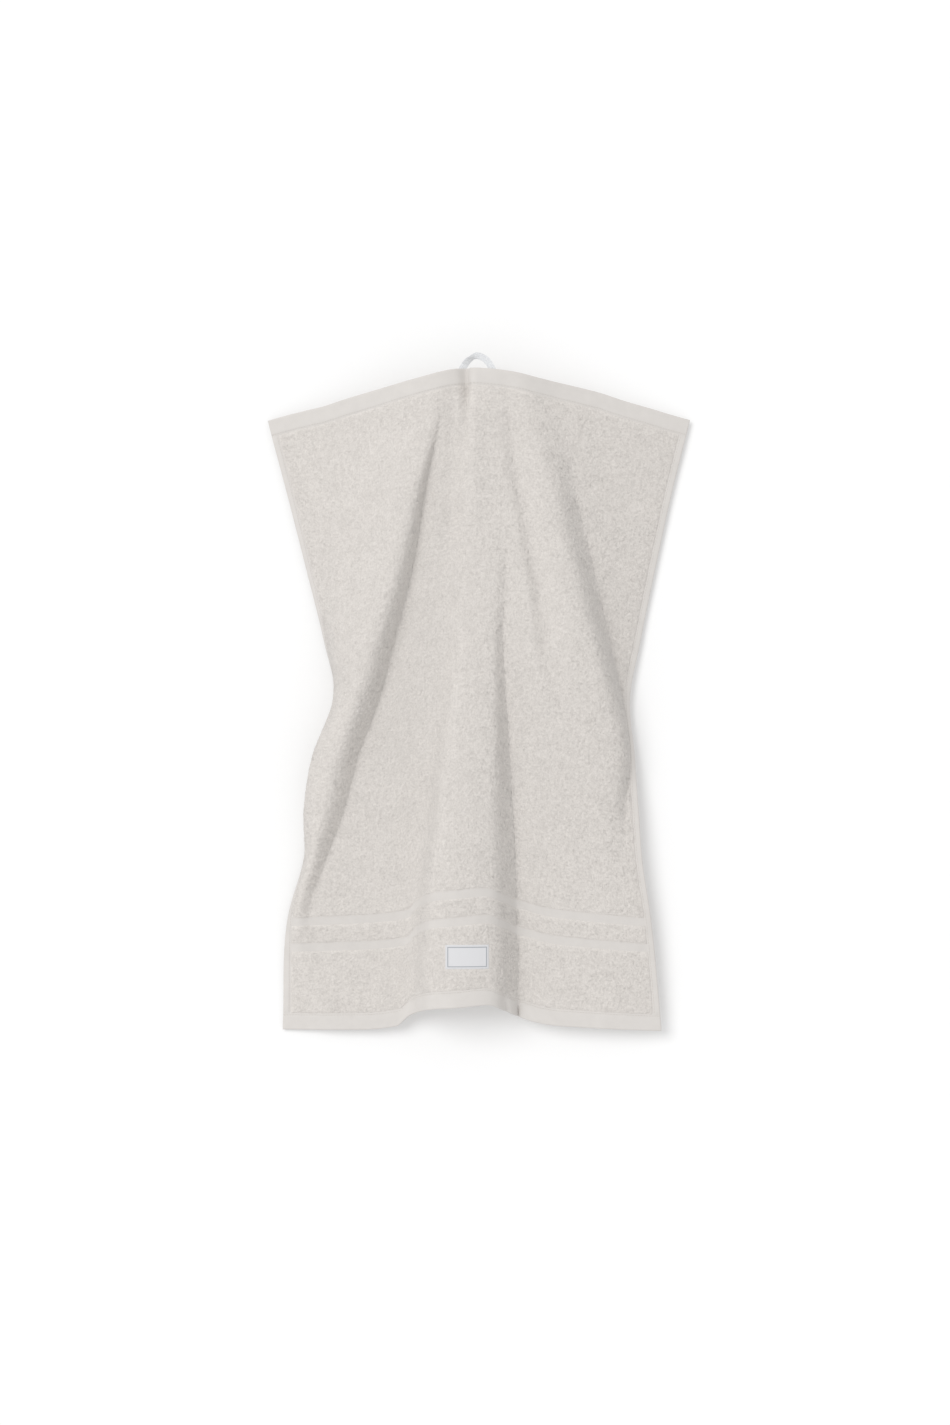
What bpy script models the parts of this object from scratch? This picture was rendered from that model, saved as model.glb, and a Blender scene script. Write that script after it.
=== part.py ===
# Hand towel hung by its loop: one terry cloth with hems and two flat-woven stripes, a tape loop and a plain label.
# The cloth is a flat grid, hung by a function of its own width and length, then given its thickness.
# World frame: metres, +Z up, front facing -Y, origin at the top of the hanging loop.
import math

import bpy
import numpy as np
from mathutils import Vector
from mathutils.bvhtree import BVHTree

MM = 0.001
FRONT = Vector((0, -1, 0))

# The flat cloth, in millimetres. Stripe centres are measured down from the top edge.
CLOTH_WIDTH = 500.0
CLOTH_LENGTH = 700.0
TERRY_THICKNESS = 3.6
HEM_THICKNESS = 2.6
STRIPE_THICKNESS = 2.0
END_HEM = 18.5
SIDE_HEM = 8.5
STRIPE_WIDTH = 9.0
STRIPE_CENTRES = (576.0, 605.5)
# Where the thickness changes, two grid lines stand this far apart
STEP_WIDTH = 0.8
# Grid columns from one fold line to the next, closer together near the folds, and the spacing of the rows
FOLD_STEPS = (0.0, 0.14, 0.37, 0.63, 0.86)
ROW_PITCH = 30.0

# The hanging loop, in millimetres: the course of the tape's middle, seen from the front
TAPE_WIDTH = 7.5
TAPE_THICKNESS = 1.1
LOOP_COURSE = {
    "across": (-20, -16, -8.5, 0, 8.5, 16, 20),
    "height": (-31, -17, -7.2, -3.75, -7.2, -17, -31),
}
LOOP_STEPS = 30
# Below the first height the tape lies on the back of the hem, and above the second it stands free
LOOP_SEAT_HEIGHT = -22.0
LOOP_FREE_HEIGHT = -11.0

# The woven label, in millimetres: its middle is given across and in height
LABEL_WIDTH = 46.0
LABEL_HEIGHT = 26.0
LABEL_THICKNESS = 0.6
LABEL_PLACE = (-11.0, -652.3)
LABEL_STEP = 3.0

# The label and the loop stay this far off the cloth; the tape is straight where the cloth under it is not
LABEL_GAP = 0.3
LOOP_GAP = 0.5

# The drape, in millimetres: where each fold line runs across the towel, and how deep it lies, at these heights.
# Depth grows towards the wall behind. The left panel turns back on itself at the waist, and the middle of the
# towel stands forward as a ridge that grows towards the bottom edge.
HEIGHTS = (-16, -40, -78, -142, -224, -311, -376, -438, -495, -550, -610, -732)
ACROSS = {
    "left edge": (-242, -236, -227, -210, -189, -167, -153, -162, -183, -187, -204, -208),
    "left bend": (-148, -144, -137, -143, -137, -150, -154, -178, -187, -186, -201, -180),
    "left crest": (-46, -45, -49, -67, -86, -112, -132, -153, -167, -180, -196, -153),
    "left valley": (-37, -38, -42, -56, -69, -90, -107, -130, -145, -165, -183, -126),
    "ridge foot": (-27, -28, -28, -32, -30, -37, -45, -51, -58, -66, -74, -79),
    "ridge left": (-17, -16, -15, -12, -8, -12, -20, -29, -36, -41, -45, -44),
    "ridge right": (16, 16, 16, 18, 18, 16, 15, 14, 13, 12, 12, 12),
    "ridge valley": (28, 29, 31, 31, 31, 28, 31, 35, 38, 41, 43, 45),
    "right crest": (57, 58, 64, 82, 97, 119, 136, 151, 140, 130, 130, 133),
    "right valley": (77, 84, 98, 106, 123, 144, 158, 166, 160, 160, 165, 171),
    "right edge": (245, 240, 231, 215, 197, 179, 167, 172, 176, 180, 189, 201),
}
DEPTH = {
    "left edge": (44, 44, 44, 44, 44, 44, 44, 44, 44, 43, 43, 46),
    "left bend": (24, 24, 24, 20, 13, 11, 15, 20, 26, 28, 35, 42),
    "left crest": (-2, -3, -3, -9, -12, -12, -8, -3, 5, 17, 29, 37),
    "left valley": (-2, -1, 3, 7, 10, 13, 16, 19, 23, 28, 33, 36),
    "ridge foot": (-2, -1, 1, 4, 6, 9, 12, 15, 18, 21, 25, 29),
    "ridge left": (-2, -4, -6, -4, -2, -3, -6, -8, -10, -12, -13, -14),
    "ridge right": (-2, -3, -5, -4, -4, -4, -6, -8, -9, -11, -12, -13),
    "ridge valley": (-1, -1, -1, -2, -2, 3, 9, 15, 19, 22, 24, 26),
    "right crest": (0, 0, -1, -3, -5, -4, 0, 9, 15, 19, 21, 24),
    "right valley": (6, 8, 11, 19, 26, 31, 33, 28, 24, 22, 23, 26),
    "right edge": (44, 44, 44, 44, 44, 43, 39, 32, 27, 25, 26, 29),
}
# How softly a section rolls over each fold line between the two edges: 1 is soft, 0 is a sharp turn
ROUNDNESS = (0.8, 0.5, 0.1, 0.5, 0.5, 0.6, 0.1, 0.7, 0.2)
# At these lines a fold lies down on the cloth beside it: its side grows steeper until it meets that cloth
MEETING_LINES = tuple(list(ACROSS).index(name) for name in ("left valley", "ridge valley", "right valley"))
MEETING_STEEPNESS = 2.2

# Course of the cloth's top and bottom edges, seen from in front
TOP_EDGE = {
    "across": (-242, -227, -169, -109, -58, -20, 19, 45, 79, 120, 162, 200, 245),
    "height": (-72, -67.5, -57.5, -39, -25.5, -17, -16, -20.5, -27.5, -38, -51.5, -61, -71),
}
BOTTOM_EDGE = {
    "across": (-208, -151, -98, -78, -74, -65, -45, 0, 20, 29, 45, 76, 106, 201),
    "height": (-732, -733, -729.5, -725, -719.7, -713.5, -710.5, -709, -709, -713, -719.7, -728, -732, -733.3),
}

# Soft creases laid over the folds: where each runs across at some heights, how far it sinks there, and the widths
# of its two sides
CREASES = {
    "from the loop to the right": {
        "heights": (-24, -60, -127, -221, -290, -335, -421), "across": (27, 33, 42, 60, 71, 77, 97),
        "sink": (0, 2, 4, 5.5, 6, 4, 0), "left": 12, "right": 5},
    "beside the loop": {
        "heights": (-10, -34, -70, -125), "across": (-10, -10, -11, -12), "sink": (5, 6, 3.5, 0),
        "left": 12, "right": 2.5},
}

# Colours as linear values, and roughness
TERRY_FINISH = ((0.69, 0.65, 0.61, 1.0), 0.95)
TAPE_FINISH = ((0.80, 0.82, 0.83, 1.0), 0.8)
LABEL_FINISH = ((0.76, 0.78, 0.80, 1.0), 0.7)

# Points along a section's smooth curve, and rounds in which a point's height and section settle together
SECTION_POINTS = 600
SETTLING_ROUNDS = 5


def curve_through(places, values, at, roundness=1.0, meeting=()):
    """Smooth curve through points at rising, uneven places. The last axis of values runs along the points.
    A roundness of 1 rolls softly over each inner point, and 0 turns sharply there. The curve breaks at a meeting
    point, where it arrives steeper than it leaves."""
    places, values, roundness = np.asarray(places, float), np.asarray(values, float), np.asarray(roundness, float)
    step = np.diff(places)
    slope = np.diff(values) / step
    inner = (slope[..., :-1] * step[1:] + slope[..., 1:] * step[:-1]) / (step[:-1] + step[1:])
    same_way = np.maximum(slope[..., :-1] * slope[..., 1:], 0.0)
    sharp = 2 * same_way / np.where(same_way > 0, slope[..., :-1] + slope[..., 1:], 1.0)
    inner = roundness * inner + (1 - roundness) * sharp
    leaving = np.concatenate([slope[..., :1], inner, slope[..., -1:]], axis=-1)
    arriving = leaving.copy()
    for knot in meeting:
        arriving[..., knot] = MEETING_STEEPNESS * slope[..., knot - 1]
        leaving[..., knot] = slope[..., knot]
    span = np.clip(np.searchsorted(places, at) - 1, 0, places.size - 2)
    t = np.clip((at - places[span]) / step[span], 0.0, 1.0)
    start_pull = leaving[..., span] * step[span] * t * (1 - t) ** 2
    end_pull = arriving[..., span + 1] * step[span] * t * t * (t - 1)
    return values[..., span] * (1 + 2 * t) * (1 - t) ** 2 + values[..., span + 1] * t * t * (3 - 2 * t) \
        + start_pull + end_pull


def crease_depth(across, height):
    """How far the creases push the cloth back at places along one section."""
    push = np.zeros_like(across)
    for crease in CREASES.values():
        heights = crease["heights"][::-1]
        if heights[0] <= height <= heights[-1]:
            centre = curve_through(heights, crease["across"][::-1], height)
            sink = curve_through(heights, crease["sink"][::-1], height)
            side = np.where(across < centre, crease["left"], crease["right"])
            push += sink * np.exp(-((across - centre) / side) ** 2)
    return push


def section(height):
    """A level cut through the hung cloth: its points, their distance along the cloth, and that of each fold line."""
    rising = HEIGHTS[::-1]
    knots_x = curve_through(rising, [row[::-1] for row in ACROSS.values()], height)
    knots_y = curve_through(rising, [row[::-1] for row in DEPTH.values()], height)
    spread = np.sqrt(np.hypot(np.diff(knots_x), np.diff(knots_y)))
    knots = np.concatenate([[0.0], np.cumsum(spread)])
    course = np.linspace(0.0, knots[-1], SECTION_POINTS)
    x = curve_through(knots, knots_x, course)
    y = curve_through(knots, knots_y, course, ROUNDNESS, MEETING_LINES)
    y += crease_depth(x, height)
    length = np.concatenate([[0.0], np.cumsum(np.hypot(np.diff(x), np.diff(y)))])
    return x, y, length, np.interp(knots, course, length)


def column_places(folds):
    """Where the grid's columns lie along one section: the side hems' lines, and steps from fold to fold between."""
    total = folds[-1]
    inner = [low + (high - low) * step for low, high in zip(folds, folds[1:]) for step in FOLD_STEPS][1:]
    hem_lines = [SIDE_HEM - STEP_WIDTH / 2, SIDE_HEM + STEP_WIDTH / 2]
    room = (total - 2 * hem_lines[1]) / total
    between = [hem_lines[1] + place * room for place in inner]
    return [0.0] + hem_lines + between + [total - line for line in hem_lines[::-1]] + [total]


def edge_course(edge):
    """Where the cloth lies along one end, so that this end keeps its course seen from in front."""
    x, _, length, _ = section(sum(edge["height"]) / len(edge["height"]))
    return x, length / length[-1] * CLOTH_WIDTH


TOP_COURSE = edge_course(TOP_EDGE)
BOTTOM_COURSE = edge_course(BOTTOM_EDGE)


def end_height(edge, course, place):
    """Height of one end of the cloth at a distance across the flat cloth."""
    x, places = course
    return float(curve_through(edge["across"], edge["height"], np.interp(place, places, x)))


def hang(column, down):
    """World point in metres of a grid column at a distance down the cloth."""
    height = TOP_EDGE["height"][0] + (BOTTOM_EDGE["height"][0] - TOP_EDGE["height"][0]) * down / CLOTH_LENGTH
    for _ in range(SETTLING_ROUNDS):
        x, y, length, folds = section(height)
        along = column_places(folds)[column]
        place = along / length[-1] * CLOTH_WIDTH
        top = end_height(TOP_EDGE, TOP_COURSE, place)
        bottom = end_height(BOTTOM_EDGE, BOTTOM_COURSE, place)
        height = top + (bottom - top) * down / CLOTH_LENGTH
    return Vector((np.interp(along, length, x), np.interp(along, length, y), height)) * MM


def row_lines():
    """Distances down the cloth of the grid's rows, with two lines at each change of thickness."""
    changes = [END_HEM]
    for centre in STRIPE_CENTRES:
        changes += [centre - STRIPE_WIDTH / 2, centre + STRIPE_WIDTH / 2]
    changes.append(CLOTH_LENGTH - END_HEM)
    stops = [0.0] + [change + side * STEP_WIDTH / 2 for change in changes for side in (-1, 1)] + [CLOTH_LENGTH]
    rows = [0.0]
    for low, high in zip(stops, stops[1:]):
        count = max(1, round((high - low) / ROW_PITCH))
        rows += [low + (high - low) * i / count for i in range(1, count + 1)]
    return rows


def thickness_share(column, last_column, down):
    """Thickness of the cloth as a share of the terry's: hems all round, two flat stripes, and terry between."""
    if min(column, last_column - column) < 2 or not END_HEM < down < CLOTH_LENGTH - END_HEM:
        return HEM_THICKNESS / TERRY_THICKNESS
    if any(abs(down - centre) < STRIPE_WIDTH / 2 for centre in STRIPE_CENTRES):
        return STRIPE_THICKNESS / TERRY_THICKNESS
    return 1.0


def plain_material(name, finish):
    made = bpy.data.materials.new(name)
    made.use_nodes = True
    shader = made.node_tree.nodes["Principled BSDF"]
    shader.inputs["Base Color"].default_value, shader.inputs["Roughness"].default_value = finish
    shader.inputs["Metallic"].default_value = 0.0
    return made


def numbered_grid(name, columns, rows, finish):
    """A grid object whose vertex in column i and row j lies at x = i and y = j, ready to be placed."""
    bpy.ops.mesh.primitive_grid_add(x_subdivisions=columns, y_subdivisions=rows, size=1)
    made = bpy.context.object
    made.name = made.data.name = name
    for vertex in made.data.vertices:
        vertex.co = (round((vertex.co.x + 0.5) * columns), round((vertex.co.y + 0.5) * rows), 0.0)
    made.data.materials.append(plain_material(name.replace("_", " "), finish))
    for other in list(made.users_collection):
        other.objects.unlink(made)
    collection.objects.link(made)
    return made


def give_thickness(made, thickness, offset, weights=""):
    """Turns the sheet's faces to the front and thickens it, evenly or by a weight at each point."""
    mesh = made.data
    if sum((face.normal for face in mesh.polygons), Vector()).dot(FRONT) < 0:
        mesh.flip_normals()
    thick = made.modifiers.new("thickness", "SOLIDIFY")
    thick.thickness = thickness * MM
    thick.offset = offset
    thick.vertex_group = weights
    mesh.shade_smooth()
    mesh.set_sharp_from_angle(angle=math.radians(40))


def make_towel():
    """The cloth: a grid that follows the folds and has lines at every hem and stripe."""
    rows = row_lines()
    last_column = len(FOLD_STEPS) * (len(ACROSS) - 1) + 4
    made = numbered_grid("towel", last_column, len(rows) - 1, TERRY_FINISH)
    weights = made.vertex_groups.new(name="thickness")
    for vertex in made.data.vertices:
        column, down = round(vertex.co.x), rows[round(vertex.co.y)]
        weights.add([vertex.index], thickness_share(column, last_column, down), "REPLACE")
        vertex.co = hang(column, down)
    give_thickness(made, TERRY_THICKNESS, 0.0, weights.name)
    return made


def finished_surface(made):
    """The thickened surface of an object, for laying other pieces on it."""
    evaluated = made.evaluated_get(bpy.context.evaluated_depsgraph_get())
    mesh = evaluated.to_mesh()
    tree = BVHTree.FromPolygons([vertex.co.copy() for vertex in mesh.vertices],
                                [tuple(face.vertices) for face in mesh.polygons])
    evaluated.to_mesh_clear()
    return tree


def seat_behind(cloth, across, height):
    """Depth at which the tape lies on the cloth's back, where the cloth under its width is deepest."""
    reach = np.linspace(-TAPE_WIDTH / 2, TAPE_WIDTH / 2, 5)
    starts = [Vector((across + aside, CLOTH_WIDTH, height + above)) * MM for aside in reach for above in reach]
    deepest = max(cloth.ray_cast(start, FRONT)[0].y / MM for start in starts)
    return deepest + LOOP_GAP + TAPE_THICKNESS / 2


def make_loop(cloth):
    """The tape loop: an arch above the top edge, its two feet laid on the back of the hem."""
    made = numbered_grid("hanging_loop", LOOP_STEPS, 2, TAPE_FINISH)
    spread = np.hypot(np.diff(LOOP_COURSE["across"]), np.diff(LOOP_COURSE["height"]))
    course = np.concatenate([[0.0], np.cumsum(spread)])
    steps = np.linspace(0.0, course[-1], LOOP_STEPS + 1)
    x = curve_through(course, LOOP_COURSE["across"], steps)
    z = curve_through(course, LOOP_COURSE["height"], steps)
    lean_x, lean_z = np.gradient(x), np.gradient(z)
    size = np.hypot(lean_x, lean_z)
    held = np.flatnonzero(z < LOOP_FREE_HEIGHT)
    seats = [seat_behind(cloth, x[i], min(z[i], LOOP_SEAT_HEIGHT)) for i in held]
    top = len(held) // 2
    y = np.interp(steps, np.insert(steps[held], top, course[-1] / 2), np.insert(seats, top, 0.0))
    for vertex in made.data.vertices:
        i, aside = round(vertex.co.x), (vertex.co.y - 1) * TAPE_WIDTH / 2
        vertex.co = Vector((x[i] - aside * lean_z[i] / size[i], y[i], z[i] + aside * lean_x[i] / size[i])) * MM
    give_thickness(made, TAPE_THICKNESS, 0.0)


def make_label(cloth):
    """The label: a small patch laid on the front of the cloth."""
    columns, rows = round(LABEL_WIDTH / LABEL_STEP), round(LABEL_HEIGHT / LABEL_STEP)
    made = numbered_grid("woven_label", columns, rows, LABEL_FINISH)
    for vertex in made.data.vertices:
        x = LABEL_PLACE[0] + LABEL_WIDTH * (vertex.co.x / columns - 0.5)
        z = LABEL_PLACE[1] + LABEL_HEIGHT * (vertex.co.y / rows - 0.5)
        point, normal, _, _ = cloth.ray_cast(Vector((x, -CLOTH_WIDTH, z)) * MM, -FRONT)
        vertex.co = point + normal * LABEL_GAP * MM
    give_thickness(made, LABEL_THICKNESS, 1.0)


for old in list(bpy.data.objects):
    bpy.data.objects.remove(old, do_unlink=True)
collection = bpy.data.collections.new("hand towel")
bpy.context.scene.collection.children.link(collection)

surface = finished_surface(make_towel())
make_loop(surface)
make_label(surface)
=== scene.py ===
# %% [markdown]
# # A hand towel hanging by its loop
# A hand towel is one length of terry: a thin woven ground with loops of yarn standing on both faces. The
# loops are left out along the edges, which are turned over and sewn as hems, and along two narrow stripes
# near the foot. A short tape is sewn behind the top hem as a hanging loop, and a small woven label sits
# on the front.
#
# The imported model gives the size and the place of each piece. It is loaded first and never changed. Its
# plain cloth, tape and label are each replaced by a finer piece that lies where they lie.

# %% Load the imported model
import math

import bpy
import numpy as np
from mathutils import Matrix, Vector
from mathutils.bvhtree import BVHTree


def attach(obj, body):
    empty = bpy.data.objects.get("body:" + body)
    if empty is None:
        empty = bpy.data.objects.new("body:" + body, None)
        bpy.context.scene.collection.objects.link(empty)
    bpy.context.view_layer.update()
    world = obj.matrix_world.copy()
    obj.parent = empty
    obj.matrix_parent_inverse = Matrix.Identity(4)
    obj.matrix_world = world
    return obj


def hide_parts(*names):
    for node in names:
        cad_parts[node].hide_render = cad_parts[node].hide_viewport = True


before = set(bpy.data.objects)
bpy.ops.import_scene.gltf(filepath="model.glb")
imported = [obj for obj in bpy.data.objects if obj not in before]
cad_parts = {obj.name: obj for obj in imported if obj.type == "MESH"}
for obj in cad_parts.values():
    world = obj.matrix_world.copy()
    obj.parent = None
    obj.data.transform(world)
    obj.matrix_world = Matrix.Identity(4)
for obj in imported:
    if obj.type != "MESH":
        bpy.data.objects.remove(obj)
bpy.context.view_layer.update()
MM = 0.001
print("CAD nodes:", sorted(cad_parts))

# %% [markdown]
# ## The folds
# A towel that hangs from the middle of its top edge is pinched there, so its folds fan out from the loop.
# They could be left to a cloth simulation, but that gives folds of its own. Here each fold line is given
# instead: a table says how far across it runs, and how deep it lies, at a few heights. Depth grows towards
# the wall. A smooth curve through one column of the table is a level cut through the cloth.

# %% The cloth's measures and the table of its folds, in millimetres
CLOTH_WIDTH = 500.0
CLOTH_LENGTH = 700.0
END_HEM = 18.5
SIDE_HEM = 8.5
STRIPE_WIDTH = 9.0
STRIPE_CENTRES = (576.0, 605.5)
LABEL_WIDTH = 46.0
LABEL_HEIGHT = 26.0
LABEL_PLACE = (-10.8, -651.6)

HEIGHTS = (-16, -40, -78, -142, -224, -311, -376, -438, -495, -550, -610, -732)
ACROSS = {
    "left edge": (-242, -236, -227, -210, -189, -167, -153, -162, -183, -189, -206, -213),
    "left bend": (-148, -144, -137, -143, -137, -150, -154, -178, -187, -186, -201, -180),
    "left crest": (-46, -45, -49, -67, -86, -112, -132, -153, -167, -180, -196, -153),
    "left valley": (-37, -38, -42, -56, -69, -90, -107, -130, -145, -165, -183, -126),
    "ridge foot": (-27, -28, -28, -32, -30, -37, -45, -51, -58, -66, -74, -79),
    "ridge left": (-17, -16, -15, -12, -8, -12, -20, -29, -36, -41, -45, -44),
    "ridge right": (16, 16, 16, 18, 18, 16, 15, 14, 13, 12, 12, 12),
    "ridge valley": (28, 29, 31, 31, 31, 28, 31, 35, 38, 41, 43, 45),
    "right crest": (50, 50, 54, 76, 96, 119, 136, 151, 140, 130, 130, 133),
    "right valley": (76, 82, 93, 104, 123, 144, 158, 166, 160, 160, 165, 171),
    "right edge": (245, 240, 231, 215, 197, 179, 167, 172, 176, 180, 189, 201),
}
DEPTH = {
    "left edge": (44, 44, 44, 44, 44, 44, 44, 44, 44, 43, 43, 46),
    "left bend": (24, 24, 24, 20, 13, 11, 15, 20, 26, 28, 35, 42),
    "left crest": (-2, -2, -2.5, -7, -9.5, -10, -6, -1, 7, 18, 29.5, 37),
    "left valley": (-2, -2, 0.5, 7, 10, 13, 16, 19, 23, 28, 33, 36),
    "ridge foot": (-2, -1, 1, 4, 6, 9, 12, 15, 18, 21, 25, 29),
    "ridge left": (-2, -4, -6, -4, -2, -3, -6, -8, -10, -12, -13, -14),
    "ridge right": (-1, -1.5, -2.5, -2.5, -3, -4, -6, -8, -9, -11, -12, -13),
    "ridge valley": (-1, -1.5, -2, -2, -0.5, 4, 10, 15, 19, 22, 24, 26),
    "right crest": (0, 0, -1, -3, -5, -4, 0, 9, 15, 19, 21, 24),
    "right valley": (9, 12, 14, 18, 24.5, 31, 33, 28, 24, 22, 23, 26),
    "right edge": (44, 44, 44, 44, 44, 43, 39, 32, 27, 25, 26, 29),
}
# How softly a cut rolls over each inner fold line: 1 is soft, 0 is a sharp turn
ROUNDNESS = (0.8, 0.5, 0.1, 0.5, 0.9, 0.8, 0.1, 0.7, 0.2)
# At these lines a fold lies down on the cloth beside it: its side grows steeper until it meets that cloth
STEEPNESS = {"left valley": 2.0, "ridge valley": 1.5, "right valley": 1.6}
MEETING_LINES = {list(ACROSS).index(name): steepness for name, steepness in STEEPNESS.items()}

# Course of the top and bottom edges, seen from in front
TOP_EDGE = {
    "across": (-242, -227, -191, -169, -148, -109, -58, -20, 19, 45, 60, 79, 106, 133, 162, 192, 215, 245),
    "height": (-71.5, -67.5, -59.5, -55, -49, -39, -26, -17.5, -18, -22, -25.5, -29.5, -35, -41, -49.5, -57,
               -63, -70),
}
BOTTOM_EDGE = {
    "across": (-213, -153, -111, -95, -84, -77, -70, -61, -50, -34, -18, 3, 19, 30, 41, 58, 79, 112, 156,
               201),
    "height": (-736.5, -736, -735, -733, -730, -722, -717, -712.5, -709, -707.5, -706.5, -704.5, -705, -712,
               -718.5, -725, -729.5, -732, -734.5, -736.5),
}
# Where two of the fold lines lie on the flat cloth, for each height: they cross it aslant
FLAT_PLACES = {
    "ridge foot": (221, 219, 217, 215, 211, 204, 195, 184, 170, 152, 138, 145),
    "ridge valley": (277, 278, 281, 285, 288, 294, 304, 317, 326, 326, 322, 326),
}
print(f"{len(ACROSS)} fold lines at {len(HEIGHTS)} heights")

# %% [markdown]
# Between the main folds lie soft creases: shallow troughs that come and go. Each is a soft dent along a
# line, with one width on its left side and another on its right, because cloth seldom bends evenly.

# %% The creases, in millimetres: heights, place across and depth there, and the widths of the two sides
CREASES = {
    "from the loop to the right": {
        "heights": (-24, -60, -127, -221, -290, -335, -421),
        "across": (27, 33, 42, 60, 71, 77, 97),
        "sink": (0, 2.5, 5.5, 7, 6.5, 4.5, 0), "left": 9, "right": 14},
    "beside the loop": {
        "heights": (-10, -34, -62, -95, -130), "across": (-11, -10, -11, -13, -16),
        "sink": (9, 11.5, 7, 3, 0), "left": 10, "right": 3},
    "below the loop": {
        "heights": (-50, -85, -120, -150, -185, -240), "across": (-14, -17, -18, -20, -25, -29),
        "sink": (0, 3, 4, 4, 3, 0), "left": 13, "right": 9},
    "pucker in the foot's hem": {
        "heights": (-688, -704, -722, -736), "across": (30, 31, 33, 34), "sink": (0, 5, 7, 6),
        "left": 5, "right": 1.5},
    "second pucker": {
        "heights": (-700, -712, -736), "across": (44, 45, 48), "sink": (0, 5, 6), "left": 4, "right": 1.5},
}


def curve_through(places, values, at, roundness=1.0, meeting=()):
    """Smooth curve through points at rising places. The last axis of values runs along the points.

    Roundness is 1 where the curve rolls over a point and 0 where it turns sharply. Meeting holds the points
    where it arrives more steeply than it leaves, and how many times steeper than a straight line.
    """
    places, values, roundness = (np.asarray(numbers, float) for numbers in (places, values, roundness))
    step = np.diff(places)
    slope = np.diff(values) / step
    inner = (slope[..., :-1] * step[1:] + slope[..., 1:] * step[:-1]) / (step[:-1] + step[1:])
    same_way = np.maximum(slope[..., :-1] * slope[..., 1:], 0.0)
    sharp = 2 * same_way / np.where(same_way > 0, slope[..., :-1] + slope[..., 1:], 1.0)
    inner = roundness * inner + (1 - roundness) * sharp
    leaving = np.concatenate([slope[..., :1], inner, slope[..., -1:]], axis=-1)
    arriving = leaving.copy()
    for knot in meeting:
        arriving[..., knot] = meeting[knot] * slope[..., knot - 1]
        leaving[..., knot] = slope[..., knot]
    span = np.clip(np.searchsorted(places, at) - 1, 0, places.size - 2)
    t = np.clip((at - places[span]) / step[span], 0.0, 1.0)
    start_pull = leaving[..., span] * step[span] * t * (1 - t) ** 2
    end_pull = arriving[..., span + 1] * step[span] * t * t * (t - 1)
    return values[..., span] * (1 + 2 * t) * (1 - t) ** 2 + values[..., span + 1] * t * t * (3 - 2 * t) \
        + start_pull + end_pull


def crease_depth(across, height):
    """How far the creases push the cloth back at places along one level cut."""
    push = np.zeros_like(across)
    for crease in CREASES.values():
        heights = crease["heights"][::-1]
        if heights[0] <= height <= heights[-1]:
            centre = curve_through(heights, crease["across"][::-1], height)
            sink = curve_through(heights, crease["sink"][::-1], height)
            side = np.where(across < centre, crease["left"], crease["right"])
            push += sink * np.exp(-((across - centre) / side) ** 2)
    return push


# %% [markdown]
# The whole cloth is then a stack of level cuts, one each millimetre. Each cut is measured along the
# cloth, so a place on the flat towel, so far across and so far down, can be looked up in the stack. Every
# piece below is laid out flat first and then hung by this one function, which keeps hems, stripes, loops
# and stitches together. Thick cloth can't crease sharply, so each cut is averaged over a few millimetres.

# %% Stack the level cuts and look places up in them
LEVEL_STEP = 1.0
LOWEST_CUT = -745.0
HIGHEST_CUT = -8.0
PLACE_STEP = 0.5
CUT_POINTS = 1500
# Places on each side that a cut is averaged over
SOFTENING = 9
levels = np.arange(LOWEST_CUT, HIGHEST_CUT, LEVEL_STEP)
places = np.arange(0.0, CLOTH_WIDTH + PLACE_STEP, PLACE_STEP)


def level_cut(height):
    """One level cut: across and depth at evenly spaced places along the cloth."""
    rising = HEIGHTS[::-1]
    knots_x = curve_through(rising, [row[::-1] for row in ACROSS.values()], height)
    knots_y = curve_through(rising, [row[::-1] for row in DEPTH.values()], height)
    spread = np.sqrt(np.hypot(np.diff(knots_x), np.diff(knots_y)))
    knots = np.concatenate([[0.0], np.cumsum(spread)])
    course = np.linspace(0.0, knots[-1], CUT_POINTS)
    x = curve_through(knots, knots_x, course)
    y = curve_through(knots, knots_y, course, ROUNDNESS, MEETING_LINES)
    y += crease_depth(x, height)
    along = np.concatenate([[0.0], np.cumsum(np.hypot(np.diff(x), np.diff(y)))])
    known = [list(ACROSS).index(name) for name in FLAT_PLACES]
    known_along = np.interp(knots[known], course, along)
    known_flat = [curve_through(rising, line[::-1], height) for line in FLAT_PLACES.values()]
    along = np.interp(along, [0.0, *known_along, along[-1]], [0.0, *known_flat, CLOTH_WIDTH])
    weights = np.hanning(2 * SOFTENING + 3)[1:-1]
    weights /= weights.sum()
    cut = [np.interp(places, along, line) for line in (x, y)]
    longer = [np.pad(line, SOFTENING, mode="reflect", reflect_type="odd") for line in cut]
    return [np.convolve(line, weights, mode="valid") for line in longer]


stack = np.array([np.stack(level_cut(height), axis=-1) for height in levels])
# Height of the top and bottom edges at each place, looked up where that place is seen near the edge
edge_heights = []
for edge in (TOP_EDGE, BOTTOM_EDGE):
    seen_across = level_cut(float(np.mean(edge["height"])))[0]
    edge_heights.append(curve_through(edge["across"], edge["height"], seen_across))


def hang(across, down):
    """Points in millimetres of the hung cloth's middle, for places across and down the flat cloth."""
    across = np.clip(across, 0.0, CLOTH_WIDTH)
    top, bottom = (np.interp(across, places, heights) for heights in edge_heights)
    height = top + (bottom - top) * down / CLOTH_LENGTH
    # Just under the last cut and the last place, so that each has a next one to blend with
    row = np.clip((height - levels[0]) / LEVEL_STEP, 0.0, levels.size - 1.001)
    column = np.clip(across / PLACE_STEP, 0.0, places.size - 1.001)
    low, left = row.astype(int), column.astype(int)
    rise, run = (row - low)[..., None], (column - left)[..., None]
    under = stack[low, left] * (1 - run) + stack[low, left + 1] * run
    over = stack[low + 1, left] * (1 - run) + stack[low + 1, left + 1] * run
    flat = under * (1 - rise) + over * rise
    return np.stack([flat[..., 0], flat[..., 1], height], axis=-1)


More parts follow.
